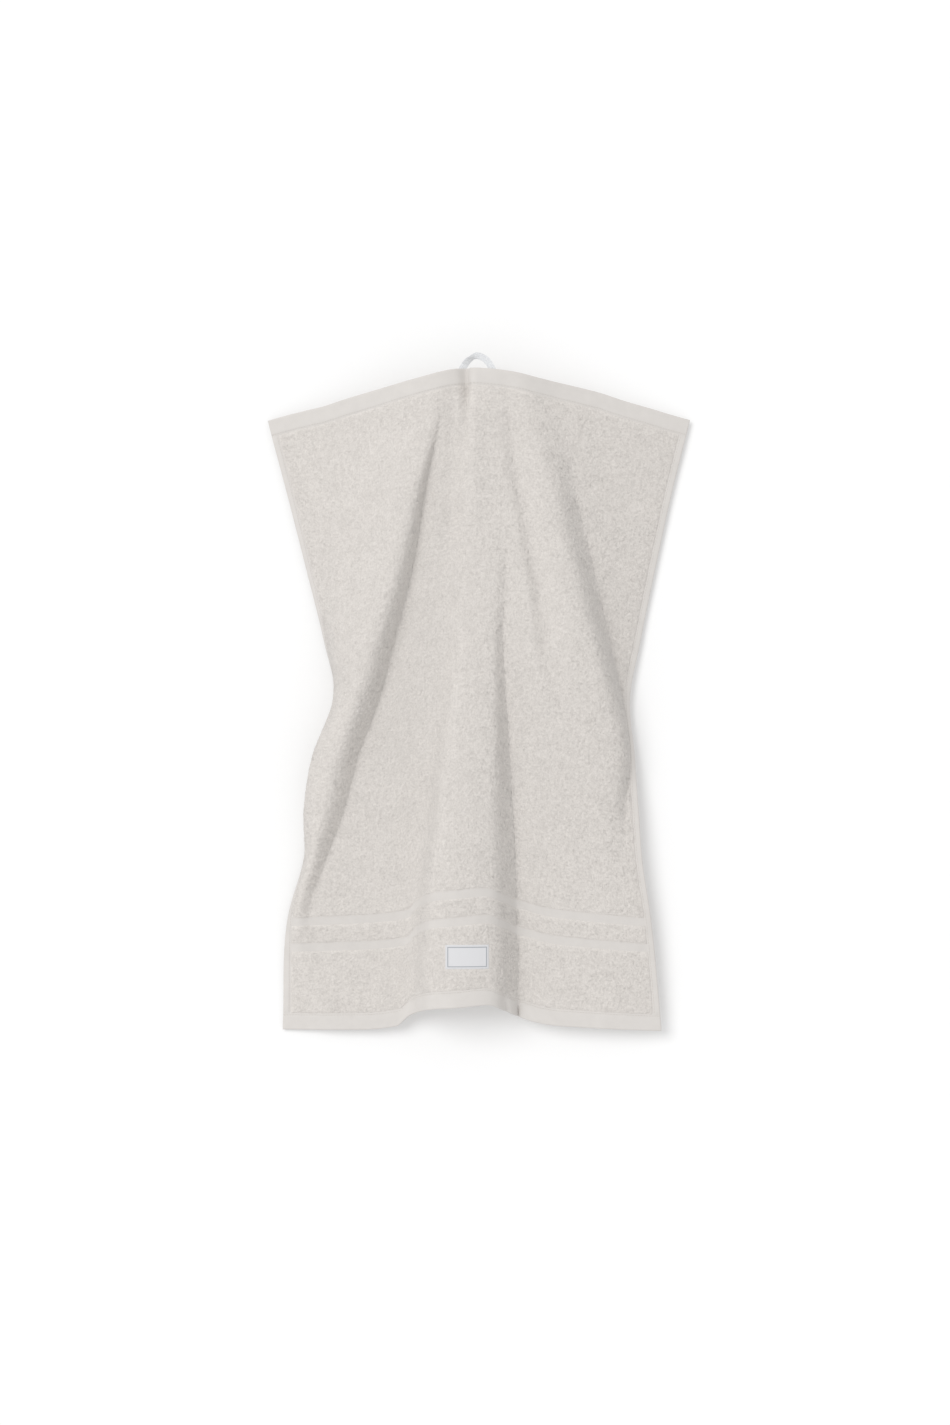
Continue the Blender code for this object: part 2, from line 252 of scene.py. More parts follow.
def unit(arrows):
    """The same arrows, each one long."""
    return arrows / np.linalg.norm(arrows, axis=-1, keepdims=True)


def cloth_axes(across, down, reach=1.2):
    """The hung point, and unit arrows to the right along the cloth, down along it, and out of its front."""
    right = unit(hang(across + reach, down) - hang(across - reach, down))
    below = unit(hang(across, down + reach) - hang(across, down - reach))
    return hang(across, down), right, below, unit(np.cross(below, right))


SEARCH_ROUNDS = 40


def flat_spots(seen_across, seen_height):
    """Places on the flat cloth, across and down, that are seen at these places and heights as it hangs."""
    across = np.full(seen_across.shape, CLOTH_WIDTH / 2)
    down = np.full(seen_across.shape, CLOTH_LENGTH / 2)
    for _ in range(SEARCH_ROUNDS):
        point = hang(across, down)
        across, down = across + seen_across - point[..., 0], down + point[..., 2] - seen_height
    return across, down


print(f"stack of {levels.size} cuts, {places.size} places each")

# %% [markdown]
# ## From a flat grid to a piece of cloth
# Every piece of cloth starts as Blender's grid primitive, whose vertices lie in columns and rows. They
# are moved to the front face of the hung cloth, Solidify gives a back face, and that is moved to the back
# of the cloth. The rim is shaded flat, so that it doesn't bend the shading of the faces beside it.

# %% Helpers that make a grid and thicken it


def only(piece):
    """Selects one object and makes it the active one."""
    bpy.ops.object.select_all(action="DESELECT")
    piece.select_set(True)
    bpy.context.view_layer.objects.active = piece


def new_grid(name, columns, rows):
    """A grid primitive, and the column and row of each of its vertices. Row 0 is its top row."""
    bpy.ops.object.select_all(action="DESELECT")
    bpy.ops.mesh.primitive_grid_add(x_subdivisions=columns, y_subdivisions=rows, size=1.0)
    grid = bpy.context.object
    grid.name = grid.data.name = name
    spots = np.empty(len(grid.data.vertices) * 3)
    grid.data.vertices.foreach_get("co", spots)
    spots = spots.reshape(-1, 3)
    column = np.rint((spots[:, 0] + 0.5) * columns).astype(int)
    row = np.rint((0.5 - spots[:, 1]) * rows).astype(int)
    return grid, column, row


def two_faces(piece, front, back, flat_places):
    """Thickens a grid and puts its faces at these points, in millimetres. The UV map is the flat cloth."""
    only(piece)
    bpy.ops.object.modifier_add(type="SOLIDIFY")
    piece.modifiers[-1].thickness = MM
    bpy.ops.object.modifier_apply(modifier=piece.modifiers[-1].name)
    mesh = piece.data
    mesh.vertices.foreach_set("co", (np.concatenate([front, back]) * MM).ravel())
    corners = np.empty(len(mesh.loops), int)
    mesh.loops.foreach_get("vertex_index", corners)
    flat_map = np.concatenate([flat_places, flat_places])[corners] * MM
    mesh.uv_layers[0].data.foreach_set("uv", flat_map.ravel())
    mesh.shade_smooth()
    half = len(front)
    on_rim = np.zeros(len(mesh.edges), bool)
    for face in mesh.polygons:
        if len({corner < half for corner in face.vertices}) == 2:
            on_rim[[mesh.loops[corner].edge_index for corner in face.loop_indices]] = True
    mesh.edges.foreach_set("use_edge_sharp", on_rim)
    mesh.update()


def triangles(piece):
    """How many triangles an object's faces make."""
    return sum(len(face.vertices) - 2 for face in piece.data.polygons)


# %% [markdown]
# ## The ground cloth
# The ground is the flat weave that carries the loops. It shows in the hems and in the two stripes. At a
# hem the cloth is turned over twice, so it is thicker there, a little full in the middle and drawn in
# along the seam. In the stripes it is a single layer, lower than the loops on either side.
#
# Rows and columns stand close together where the thickness changes and far apart where loops cover the
# ground.

# %% Places of the ground's rows and columns, and its half thickness, in millimetres
HEM_FULL = 1.25
HEM_SEAM = 0.6
STRIPE_HALF = 0.45
GROUND_HALF = 0.6
SEAM_DRAW = 3.5
# The rounded rim: distances in from the edge, and the share of the full thickness there
RIM_LINES = (0.0, 0.35, 0.9, 1.8)
RIM_SHARES = (0.3, 0.72, 0.93, 1.0)
RIM_END = 2.8
PAST_SEAM = 1.5
UNDER_PILE = 1.0
ROW_STEPS = (6.0, 1.6)
COLUMN_STEPS = (3.0, 1.3)


def finer_near(stops, coarse, fine):
    """Rising places from the first stop to the last: fine in every second stretch, coarse in the others."""
    lines = [stops[0]]
    for number, (low, high) in enumerate(zip(stops, stops[1:])):
        count = max(1, math.ceil((high - low) / (fine if number % 2 == 0 else coarse)))
        lines += [low + (high - low) * i / count for i in range(1, count + 1)]
    return lines


def hem_half(inside, width):
    """Half thickness of a hem at distances in from its edge: round edge, full middle, drawn-in seam."""
    rounding = np.interp(inside, RIM_LINES, RIM_SHARES)
    from_seam = np.clip((width - inside) / SEAM_DRAW, 0.0, 1.0)
    full = HEM_SEAM + (HEM_FULL - HEM_SEAM) * from_seam * (2 - from_seam)
    return rounding * full


def ground_half(across, down):
    """Half thickness of the ground cloth at flat places."""
    from_side = np.minimum(across, CLOTH_WIDTH - across)
    from_end = np.minimum(down, CLOTH_LENGTH - down)
    half = np.full(across.shape, GROUND_HALF)
    for centre in STRIPE_CENTRES:
        half = np.where(np.abs(down - centre) < STRIPE_WIDTH / 2 + UNDER_PILE, STRIPE_HALF, half)
    half = np.where(from_side <= SIDE_HEM, np.maximum(half, hem_half(from_side, SIDE_HEM)), half)
    half = np.where(from_end <= END_HEM, hem_half(from_end, END_HEM), half)
    edge = np.interp(np.minimum(from_side, from_end), RIM_LINES, RIM_SHARES)
    return np.minimum(half, HEM_FULL * edge)


def ground_lines(stops, length, coarse, fine):
    """Lines over a length of the ground: the rim's at both ends, and between them finer ones near stops."""
    inner = finer_near([RIM_END] + stops + [length - RIM_END], coarse, fine)
    return list(RIM_LINES) + inner + [length - place for place in RIM_LINES[::-1]]


STRIPE_REACH = STRIPE_WIDTH / 2 + PAST_SEAM
stripe_rims = [centre + side * STRIPE_REACH for centre in STRIPE_CENTRES for side in (-1, 1)]
ground_rows = ground_lines([END_HEM + PAST_SEAM] + stripe_rims + [CLOTH_LENGTH - END_HEM - PAST_SEAM],
                           CLOTH_LENGTH, *ROW_STEPS)
ground_columns = ground_lines([SIDE_HEM + UNDER_PILE, CLOTH_WIDTH - SIDE_HEM - UNDER_PILE],
                              CLOTH_WIDTH, *COLUMN_STEPS)
print(f"ground: {len(ground_columns)} columns, {len(ground_rows)} rows")

# %% Make the ground cloth
ground, column, row = new_grid("ground_cloth", len(ground_columns) - 1, len(ground_rows) - 1)
across, down = np.array(ground_columns)[column], np.array(ground_rows)[row]
middle, right, below, front = cloth_axes(across, down)
half = ground_half(across, down)[:, None]
two_faces(ground, middle + front * half, middle - front * half, np.stack([across, down], axis=-1))
print("ground cloth:", triangles(ground), "triangles")

# %% [markdown]
# ## The terry
# Terry is thousands of small yarn loops in rows. Loops as separate pieces would be far too many for one
# towel, and a bump map alone would leave a smooth mesh. So the pile is a real relief: on a grid with a
# vertex each 1.3 mm, every second vertex is the crown of a loop and its neighbours are the gaps, each a
# little higher, lower or to the side than it should be. A slow unevenness on top of that is the nap,
# where the loops lean together in small patches.
#
# One mesh would be too heavy, so the pile is made in panels that share the vertices along their borders.
# Along a hem or a stripe it falls in three steps, and under the label it is pressed flat.

# %% Relief of the pile, in millimetres
PILE_PITCH = 1.3
PILE_HALF = 1.5
LOOP_RELIEF = 0.3
LOOP_UNEVEN = 0.38
NAP_RELIEF = 0.09
NAP_PATCHES = {4: 0.6, 9: 0.4}
LOOP_STRAY = 0.3
PILE_ROOT = 0.3
PILE_LEAN = 0.35
LEAN_UNEVEN = (0.2, 1.6)
BORDER_SHARES = {1: 0.75, 2: 0.93}
LABEL_SEAT = 1.0
# How high the pile may stand at distances out from the label
LABEL_PRESSES = {"out": (0.0, 0.5, 2.5), "height": (LABEL_SEAT, 1.4, 3.0)}
PANELS = {
    "upper": {"from": END_HEM, "to": STRIPE_CENTRES[0] - STRIPE_WIDTH / 2, "count": 4},
    "between_stripes": {
        "from": STRIPE_CENTRES[0] + STRIPE_WIDTH / 2, "to": STRIPE_CENTRES[1] - STRIPE_WIDTH / 2,
        "count": 1},
    "foot": {"from": STRIPE_CENTRES[1] + STRIPE_WIDTH / 2, "to": CLOTH_LENGTH - END_HEM, "count": 1},
}
chance = np.random.default_rng(11)


def soft_noise(shape, cells):
    """Smooth random field between about -1 and 1, whose lumps are this many vertices wide."""
    coarse = chance.uniform(-1, 1, [size // cells + 3 for size in shape])
    rows, columns = np.arange(shape[0]) / cells, np.arange(shape[1]) / cells
    low, left = rows.astype(int), columns.astype(int)
    rise = (rows - low)[:, None]
    run = (columns - left)[None, :]
    rise, run = rise * rise * (3 - 2 * rise), run * run * (3 - 2 * run)
    under = coarse[np.ix_(low, left)] * (1 - run) + coarse[np.ix_(low, left + 1)] * run
    over = coarse[np.ix_(low + 1, left)] * (1 - run) + coarse[np.ix_(low + 1, left + 1)] * run
    return under * (1 - rise) + over * rise


def pile_height(shape):
    """Height of the pile over the cloth's middle on a lattice, falling to its root along the border."""
    rows, columns = np.indices(shape)
    crown = np.where((rows + columns) % 2 == 0, 1.0, -1.0)
    height = PILE_HALF + LOOP_RELIEF * crown + LOOP_UNEVEN * chance.uniform(-1, 1, shape)
    height += NAP_RELIEF * sum(share * soft_noise(shape, cells) for cells, share in NAP_PATCHES.items())
    border = np.minimum.reduce([rows, columns, shape[0] - 1 - rows, shape[1] - 1 - columns])
    for line, share in BORDER_SHARES.items():
        height = np.where(border == line, share * height, height)
    return np.where(border == 0, PILE_ROOT, height)


def pile_places(low, high, shape):
    """Flat places of a field's lattice, each a little astray, the second line leaning over the border."""
    rows, columns = np.indices(shape)
    place = {}
    for name, index, count, start, end in (
            ("down", rows, shape[0] - 1, low, high),
            ("across", columns, shape[1] - 1, SIDE_HEM, CLOTH_WIDTH - SIDE_HEM)):
        even = start + (end - start) * index / count
        inner = (index > 0) & (index < count)
        stray = np.where(inner, chance.uniform(-LOOP_STRAY, LOOP_STRAY, shape), 0.0)
        lean = np.where(index == 1, -PILE_LEAN, np.where(index == count - 1, PILE_LEAN, 0.0))
        lean = lean * chance.uniform(*LEAN_UNEVEN, shape)
        place[name] = even + stray + lean
    return place["across"], place["down"]


# %% [markdown]
# The pile is laid on the cloth field by field: above the stripes, between them and below them. The widest
# field is cut into four panels side by side.

# %% Make the pile, panel by panel
panel_columns = round((CLOTH_WIDTH - 2 * SIDE_HEM) / PILE_PITCH)
pile_pieces = []
for field, panel in PANELS.items():
    shape = (round((panel["to"] - panel["from"]) / PILE_PITCH) + 1, panel_columns + 1)
    across, down = pile_places(panel["from"], panel["to"], shape)
    middle, right, below, front = cloth_axes(across, down)
    front_height, back_height = pile_height(shape), pile_height(shape)
    past_label = np.maximum(np.abs(middle[..., 0] - LABEL_PLACE[0]) - LABEL_WIDTH / 2,
                            np.abs(middle[..., 2] - LABEL_PLACE[1]) - LABEL_HEIGHT / 2)
    pressed = np.interp(past_label, LABEL_PRESSES["out"], LABEL_PRESSES["height"])
    front_height = np.minimum(front_height, pressed)
    faces = [middle + front * front_height[..., None], middle - front * back_height[..., None]]
    cuts = [round(panel_columns * number / panel["count"]) for number in range(panel["count"] + 1)]
    for number, (left, right_end) in enumerate(zip(cuts, cuts[1:])):
        piece, column, row = new_grid(f"terry_{field}_{number + 1}", right_end - left, shape[0] - 1)
        column = column + left
        flat_places = np.stack([across[row, column], down[row, column]], axis=-1)
        two_faces(piece, faces[0][row, column], faces[1][row, column], flat_places)
        pile_pieces.append(piece)
        print(f"{piece.name}: {triangles(piece)} triangles")

# %% [markdown]
# ## The sewing
# The hems are held by a lockstitch: a row of short thread bars, each about 3 mm, that dip into the cloth
# at both ends. A curve with a bevel could draw one thread, but a seam is hundreds of equal bars. So one
# bar is modelled from a small sphere, drawn out along the seam, and stamped along every seam, on both
# faces of the cloth.

# %% Model one stitch and stamp it along the seams
STITCH_LENGTH = 2.5
STITCH_WIDTH = 0.55
STITCH_HEIGHT = 0.5
STITCH_PITCH = 3.3
STITCH_STRAY = 0.15
bpy.ops.object.select_all(action="DESELECT")
bpy.ops.mesh.primitive_uv_sphere_add(segments=6, ring_count=4, radius=0.5)
stitch = bpy.context.object
# The sphere's poles become the ends of the bar
stitch_points = np.array([tuple(vertex.co) for vertex in stitch.data.vertices])[:, [2, 0, 1]]
stitch_faces = [tuple(face.vertices) for face in stitch.data.polygons]
bpy.data.objects.remove(stitch, do_unlink=True)


def sew(name, centres, along, out, size):
    """One mesh of stitches with these middles, headings and outward arrows. Size: length, width, height."""
    side = unit(np.cross(out, along))
    points = (centres[:, None] + along[:, None] * stitch_points[None, :, :1] * size[0]
              + side[:, None] * stitch_points[None, :, 1:2] * size[1]
              + out[:, None] * stitch_points[None, :, 2:] * size[2]) * MM
    faces = [tuple(corner + number * len(stitch_points) for corner in face)
             for number in range(len(centres)) for face in stitch_faces]
    mesh = bpy.data.meshes.new(name)
    mesh.from_pydata(points.reshape(-1, 3).tolist(), [], faces)
    piece = bpy.data.objects.new(name, mesh)
    bpy.context.scene.collection.objects.link(piece)
    mesh.uv_layers.new(name="UVMap")
    only(piece)
    bpy.ops.object.mode_set(mode="EDIT")
    bpy.ops.mesh.select_all(action="SELECT")
    bpy.ops.mesh.normals_make_consistent(inside=False)
    bpy.ops.object.mode_set(mode="OBJECT")
    mesh.shade_smooth()
    return piece


SEAM_INSET = 1.6
SEAM_START = 2.0


def seam_places():
    """Flat places and headings of every hem stitch: 0 runs across the towel, 1 runs down it."""
    found = []
    for line in (END_HEM - SEAM_INSET, CLOTH_LENGTH - END_HEM + SEAM_INSET):
        spots = np.arange(SEAM_START, CLOTH_WIDTH - SEAM_START, STITCH_PITCH)
        found.append((spots, np.full(spots.shape, line), 0))
    for line in (SIDE_HEM - SEAM_INSET, CLOTH_WIDTH - SIDE_HEM + SEAM_INSET):
        spots = np.arange(END_HEM, CLOTH_LENGTH - END_HEM, STITCH_PITCH)
        found.append((np.full(spots.shape, line), spots, 1))
    return found


for name, facing in (("front_hem_stitches", 1.0), ("back_hem_stitches", -1.0)):
    centres, headings, outs = [], [], []
    for across, down, runs_down in seam_places():
        across = across + chance.uniform(-STITCH_STRAY, STITCH_STRAY, across.shape)
        down = down + chance.uniform(-STITCH_STRAY, STITCH_STRAY, down.shape)
        middle, right, below, front = cloth_axes(across, down)
        lift = ground_half(across, down)[:, None]
        centres.append(middle + front * facing * lift)
        headings.append(below if runs_down else right)
        outs.append(front * facing)
    piece = sew(name, np.concatenate(centres), np.concatenate(headings), np.concatenate(outs),
                (STITCH_LENGTH, STITCH_WIDTH, STITCH_HEIGHT))
    print(f"{name}: {triangles(piece)} triangles")

# %% [markdown]
# ## The hanging loop
# The loop is a narrow cotton tape in herringbone weave, sewn behind the top hem. It leans and turns a
# little, so one leg shows its shaded side. A curve object with a flat bevel would give its course, but
# not its weave. So the tape is a grid laid along a smooth arch, with slanting ribs raised on both faces.

# %% Course of the tape, in millimetres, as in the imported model
TAPE_WIDTH = 7.5
TAPE_HALF = 0.45
TAPE_COLUMNS = 180
TAPE_ROWS = 10
RIB_PITCH = 1.9
RIB_RELIEF = 0.15
RIB_SLANT = 1.1
RIBBED_SHARE = 0.46
SELVEDGE_THINNING = 0.45
LOOP_COURSE = {
    "across": (-20, -16, -8.5, 0, 8.5, 16, 20),
    "height": (-31, -17, -7.2, -3.75, -7.2, -17, -31),
}
LOOP_SEAT_HEIGHT = -22.0
LOOP_FREE_HEIGHT = -11.0
LOOP_GAP = 0.5
# How far the tape turns about its own course, by the place across
LOOP_TURN = {"across": (-14, -6, 0, 7, 14), "degrees": (0, -52, -24, -12, 0)}
SEAT_EACH = 4
FAR_BEHIND = 500.0
FRONT = Vector((0, -1, 0))


def surface_of(piece):
    """A search tree over an object's faces, for laying other pieces on it."""
    return BVHTree.FromPolygons([vertex.co.copy() for vertex in piece.data.vertices],
                                [tuple(face.vertices) for face in piece.data.polygons])


hem_surface = surface_of(ground)


def seat_behind(across, height):
    """Depth of the tape's middle on the cloth's back, where the cloth under its width is deepest."""
    reach = np.linspace(-TAPE_WIDTH / 2, TAPE_WIDTH / 2, 5)
    starts = [Vector((across + aside, FAR_BEHIND, height + above)) * MM
              for aside in reach for above in reach]
    touched = [hem_surface.ray_cast(start, FRONT)[0] for start in starts]
    return max(point.y / MM for point in touched if point) + LOOP_GAP + TAPE_HALF


# %% [markdown]
# Where its legs lie behind the hem, the tape's depth comes from the ground cloth itself: rays from behind
# find how deep the cloth is under the tape's width. The arch between the legs leans forward over the hem.

# %% Lay the tape along its arch
spread = np.hypot(np.diff(LOOP_COURSE["across"]), np.diff(LOOP_COURSE["height"]))
course = np.concatenate([[0.0], np.cumsum(spread)])
steps = np.linspace(0.0, course[-1], TAPE_COLUMNS + 1)
tape_x = curve_through(course, LOOP_COURSE["across"], steps)
tape_z = curve_through(course, LOOP_COURSE["height"], steps)
held = np.flatnonzero(tape_z < LOOP_FREE_HEIGHT)[::SEAT_EACH]
seats = [seat_behind(tape_x[i], min(tape_z[i], LOOP_SEAT_HEIGHT)) for i in held]
# At its top the tape reaches forward to depth 0, where it hangs
top = int(np.searchsorted(steps[held], course[-1] / 2))
tape_y = np.interp(steps, np.insert(steps[held], top, course[-1] / 2), np.insert(seats, top, 0.0))
tape_line = np.stack([tape_x, tape_y, tape_z], axis=-1)
tape_along = unit(np.gradient(tape_line, axis=0))
tape_side = unit(np.cross(tape_along, (0.0, -1.0, 0.0)))
turn = np.radians(np.interp(tape_x, LOOP_TURN["across"], LOOP_TURN["degrees"]))[:, None]
tape_out = unit(np.cross(tape_side, tape_along))
tape_across = tape_side * np.cos(turn) + tape_out * np.sin(turn)
tape_face = unit(np.cross(tape_across, tape_along))
tape_face *= np.sign(-tape_face[:, 1:2])

tape, column, row = new_grid("tape_loop", TAPE_COLUMNS, TAPE_ROWS)
aside = (0.5 - row / TAPE_ROWS) * TAPE_WIDTH
rib = np.sin(2 * math.pi * (steps[column] - np.abs(aside) * RIB_SLANT) / RIB_PITCH)
thin = TAPE_HALF * (1 - SELVEDGE_THINNING * (np.abs(aside) * 2 / TAPE_WIDTH) ** 6)
thick = (thin + RIB_RELIEF * rib * (np.abs(aside) < TAPE_WIDTH * RIBBED_SHARE))[:, None]
centre = tape_line[column] - tape_across[column] * aside[:, None]
two_faces(tape, centre + tape_face[column] * thick, centre - tape_face[column] * thick,
          np.stack([steps[column], aside], axis=-1))
print("tape loop:", triangles(tape), "triangles, its middle from", round(tape_y.min(), 1), "to",
      round(tape_y.max(), 1), "mm deep")

# %% [markdown]
# ## The label
# The label is a small plain piece of fine woven satin with a thin line woven in along its border. Its ends
# are folded under, so it is a little thicker there, and small stitches hold it. A flat plate would stand
# off the curved cloth, so each of its points is looked up on the hung cloth and lifted to the height of
# the pressed pile.

# %% Weave the label
LABEL_THICKNESS = 0.8
LABEL_SINK = 0.1
LABEL_CELL = 0.5
FRAME_INSET = 2.6
FRAME_WIDTH = 0.7
FRAME_RIB = 0.12
FOLDED_END = 5.0
FOLDED_MORE = 0.14
FOLD_RAMP = 0.8
LABEL_ROUND = 0.5
LABEL_RIM = 0.35


def label_face(u, v):
    """Height of the label's face over the cloth's middle: round along its edge, fuller at its ends."""
    from_edge = np.minimum(LABEL_WIDTH / 2 - np.abs(u), LABEL_HEIGHT / 2 - np.abs(v))
    frame_rib = FRAME_RIB * np.exp(-((from_edge - FRAME_INSET) / (FRAME_WIDTH / 2)) ** 2)
    folded = FOLDED_MORE * np.clip((np.abs(u) - LABEL_WIDTH / 2 + FOLDED_END) / FOLD_RAMP, 0, 1)
    rounded = np.clip(from_edge / LABEL_ROUND, LABEL_RIM, 1.0)
    return LABEL_SEAT + LABEL_THICKNESS * rounded + frame_rib + folded


label_columns, label_rows = round(LABEL_WIDTH / LABEL_CELL), round(LABEL_HEIGHT / LABEL_CELL)
label, column, row = new_grid("sewn_label", label_columns, label_rows)
label_u = (column / label_columns - 0.5) * LABEL_WIDTH
label_v = (0.5 - row / label_rows) * LABEL_HEIGHT
label_spots = flat_spots(LABEL_PLACE[0] + label_u, LABEL_PLACE[1] + label_v)
middle, right, below, front = cloth_axes(*label_spots)
label_flat = np.stack([label_u + LABEL_WIDTH / 2, label_v + LABEL_HEIGHT / 2], axis=-1)
two_faces(label, middle + front * label_face(label_u, label_v)[:, None],
          middle + front * (LABEL_SEAT - LABEL_SINK), label_flat)
print("label:", triangles(label), "triangles")

# %% [markdown]
# The label is held by smaller stitches of the same kind, close to its border. They are stamped from the
# same bar.

# %% Sew it on
LABEL_SEAM = 1.1
LABEL_STITCH = 1.7
LABEL_STITCH_SIZE = (1.3, 0.32, 0.24)
SEAM_FROM = 1.6
SEAM_TO = 1.2
centres, headings, outs = [], [], []
for edge in (-1, 1):
    along_row = np.arange(-LABEL_WIDTH / 2 + SEAM_FROM, LABEL_WIDTH / 2 - SEAM_TO, LABEL_STITCH)
    up_side = np.arange(-LABEL_HEIGHT / 2 + SEAM_FROM, LABEL_HEIGHT / 2 - SEAM_TO, LABEL_STITCH)
    for seam_u, seam_v, upright in (
            (along_row, np.full(along_row.shape, edge * (LABEL_HEIGHT / 2 - LABEL_SEAM)), False),
            (np.full(up_side.shape, edge * (LABEL_WIDTH / 2 - LABEL_SEAM)), up_side, True)):
        seam_spots = flat_spots(LABEL_PLACE[0] + seam_u, LABEL_PLACE[1] + seam_v)
        middle, right, below, front = cloth_axes(*seam_spots)
        centres.append(middle + front * label_face(seam_u, seam_v)[:, None])
        headings.append(below if upright else right)
        outs.append(front)
label_stitches = sew("label_stitches", np.concatenate(centres), np.concatenate(headings),
                     np.concatenate(outs), LABEL_STITCH_SIZE)
print("label stitches:", triangles(label_stitches), "triangles")

# %% [markdown]
# ## Finishes
# The towel is undyed or lightly dyed cotton, which is matte and soft. What differs is how each piece was
# made: loops, flat weave, twisted thread, herringbone tape or satin label. Every pattern but the thread's
# reads the UV map, which holds the flat cloth's own metres, so threads follow the cloth into its folds.

# %% Helpers for finishes


def linear(hex_colour):
    """Linear colour of an sRGB hex value such as D8D2CC."""
    parts = [int(hex_colour[i:i + 2], 16) / 255 for i in (0, 2, 4)]
    parts = [part / 12.92 if part <= 0.04045 else ((part + 0.055) / 1.055) ** 2.4 for part in parts]
    return tuple(parts) + (1.0,)


def add_node(tree, kind, settings=None, values=None, links=None):
    """Adds a node, sets its properties and socket values, and links its inputs to other nodes' outputs."""
    node = tree.nodes.new(kind)
    for name, setting in (settings or {}).items():
        setattr(node, name, setting)
    for socket, value in (values or {}).items():
        node.inputs[socket].default_value = value
    for socket, output in (links or {}).items():
        tree.links.new(output, node.inputs[socket])
    return node


def new_finish(name, colour, roughness, sheen):
    """A material with its main shader set, and its node tree."""
    made = bpy.data.materials.new(name)
    made.use_nodes = True
    tree = made.node_tree
    shader = tree.nodes["Principled BSDF"]
    cotton = {"Base Color": linear(colour), "Roughness": roughness, "Sheen Weight": sheen,
              "Sheen Roughness": 0.5, "Specular IOR Level": 0.25}
    for socket, value in cotton.items():
        shader.inputs[socket].default_value = value
    return made, tree, shader


def flat_millimetres(tree):
    """Output that gives the place on the flat cloth in millimetres."""
    place = add_node(tree, "ShaderNodeUVMap")
    scaled = add_node(tree, "ShaderNodeVectorMath", {"operation": "SCALE"}, {"Scale": 1000.0},
                      {"Vector": place.outputs["UV"]})
    return scaled.outputs["Vector"]


def mottle(tree, shader, where, size_mm, colours, grain=0.6):
    """Lets the colour drift between two close shades in patches of about this size."""
    noise = add_node(tree, "ShaderNodeTexNoise", {},
                     {"Scale": 1.0 / size_mm, "Detail": 3.0, "Roughness": grain}, {"Vector": where})
    ramp = add_node(tree, "ShaderNodeValToRGB", links={"Fac": noise.outputs["Fac"]})
    for stop, position, colour in zip(ramp.color_ramp.elements, (0.32, 0.68), colours):
        stop.position = position
        stop.color = linear(colour)
    tree.links.new(ramp.outputs["Color"], shader.inputs["Base Color"])


def shade_over(tree, shader, where, size_mm, shares):
    """Darkens and lightens the colour a little in patches of about this size."""
    colour = shader.inputs["Base Color"].links[0].from_socket
    noise = add_node(tree, "ShaderNodeTexNoise", {}, {"Scale": 1.0 / size_mm, "Detail": 2.0},
                     {"Vector": where})
    share = add_node(tree, "ShaderNodeMapRange", {},
                     {"From Min": 0.35, "From Max": 0.65, "To Min": shares[0], "To Max": shares[1]},
                     {"Value": noise.outputs["Fac"]})
    shaded = add_node(tree, "ShaderNodeVectorMath", {"operation": "SCALE"},
                      links={"Vector": colour, "Scale": share.outputs["Result"]})
    tree.links.new(shaded.outputs["Vector"], shader.inputs["Base Color"])


def bump_from(tree, shader, height, distance_mm, strength):
    """Lets a pattern tilt the light on the surface, as a relief of this height would."""
    bump = add_node(tree, "ShaderNodeBump", {}, {"Strength": strength, "Distance": distance_mm * MM},
                    {"Height": height})
    tree.links.new(bump.outputs["Normal"], shader.inputs["Normal"])


# %% [markdown]
# Cotton terry: two-ply yarn loops in a warm pale stone colour. The yarn's own hairs and twist are
# finer than the relief, so they are a noise bump of about 0.7 mm. The shade drifts a little where the nap
# lies over.

# %% Finish of the terry
terry, tree, shader = new_finish("cotton terry loops", colour="D2CEC9", roughness=0.95, sheen=0.25)
where = flat_millimetres(tree)
mottle(tree, shader, where, size_mm=2.0, colours=("D2CDC8", "DFDAD5"), grain=0.5)
shade_over(tree, shader, where, size_mm=24.0, shares=(0.98, 1.01))
HAIRS_PER_MM = 1.4
yarn = add_node(tree, "ShaderNodeTexNoise", {}, {"Scale": HAIRS_PER_MM, "Detail": 3.0, "Roughness": 0.65},
                {"Vector": where})
bump_from(tree, shader, yarn.outputs["Fac"], distance_mm=0.7, strength=0.7)

# %% [markdown]
# Flat-woven cotton: the same yarn in plain weave, with no loops. Loops shade one another and a flat weave
# doesn't, so its colour is set a shade darker to look the same. Warp and weft are about 0.5 mm apart, too
# fine to show here, so the weave is drawn at 1.1 mm. The stripes are a single layer sunk between two banks
# of pile, and their colour is darkened a little more as painted shade from those banks.

# %% Finish of the hems and stripes
flat_weave, tree, shader = new_finish("flat woven cotton", colour="D3D0CC", roughness=0.9, sheen=0.2)
where = flat_millimetres(tree)
mottle(tree, shader, where, size_mm=14.0, colours=("CFCBC7", "D3CFCB"))
# Painted shade: the ground is darkened a little across the two stripes, as the pile banks beside them would
# shade it
STRIPE_PAINTED_SHADE = 0.975
STRIPES_REACH = 30.0
flat_down = add_node(tree, "ShaderNodeSeparateXYZ", links={"Vector": where})
in_stripes = add_node(tree, "ShaderNodeMath", {"operation": "COMPARE"},
                      {1: sum(STRIPE_CENTRES) / 2, 2: STRIPES_REACH}, {0: flat_down.outputs["Y"]})
share = add_node(tree, "ShaderNodeMapRange", {}, {"To Min": 1.0, "To Max": STRIPE_PAINTED_SHADE},
                 {"Value": in_stripes.outputs["Value"]})
woven_colour = shader.inputs["Base Color"].links[0].from_socket
stripes_with_painted_shade = add_node(tree, "ShaderNodeVectorMath", {"operation": "SCALE"},
                  links={"Vector": woven_colour, "Scale": share.outputs["Result"]})
tree.links.new(stripes_with_painted_shade.outputs["Vector"], shader.inputs["Base Color"])
THREAD_MM = 1.1
